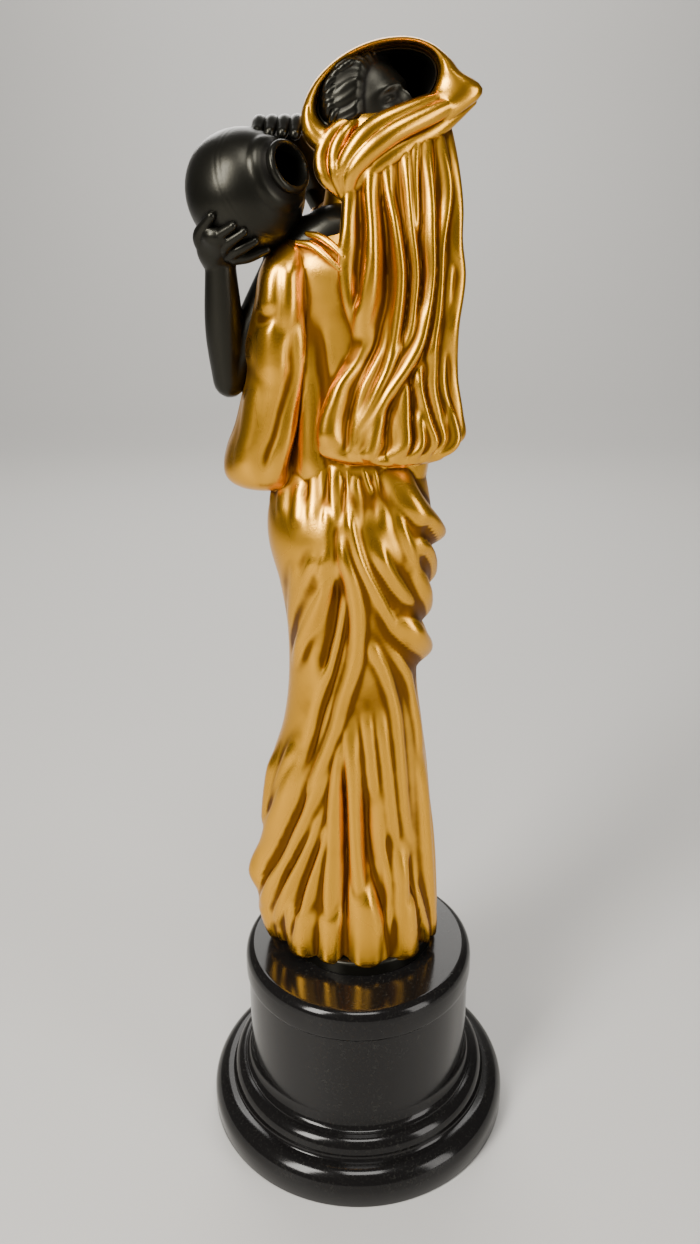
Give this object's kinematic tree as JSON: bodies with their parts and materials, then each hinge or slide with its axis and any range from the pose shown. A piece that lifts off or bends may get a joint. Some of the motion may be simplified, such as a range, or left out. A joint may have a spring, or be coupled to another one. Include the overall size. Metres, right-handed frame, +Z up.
{
  "type": "bronze lady figurine",
  "caption": "Cast bronze figurine of a veiled lady in long draped robes holding a water jar on her left shoulder, on a round turned marble base.",
  "frame": {"origin": "centre of the round base's underside", "axes": "+Z up; she faces -Y, her left side with the jar is +X and her veiled back is +Y"},
  "size_m": [0.1214, 0.1214, 0.3951],
  "materials": {
    "gilded_bronze": "satin gilding over cast bronze, browner in the hollows",
    "dark_bronze": "dark brown patina, waxed, semi-gloss",
    "black_marble": "polished black stone with a fine grey speckle"
  },
  "bodies": {
    "root": {"figure": "gilded_bronze", "marble_base": "black_marble"}
  },
  "joints": []
}
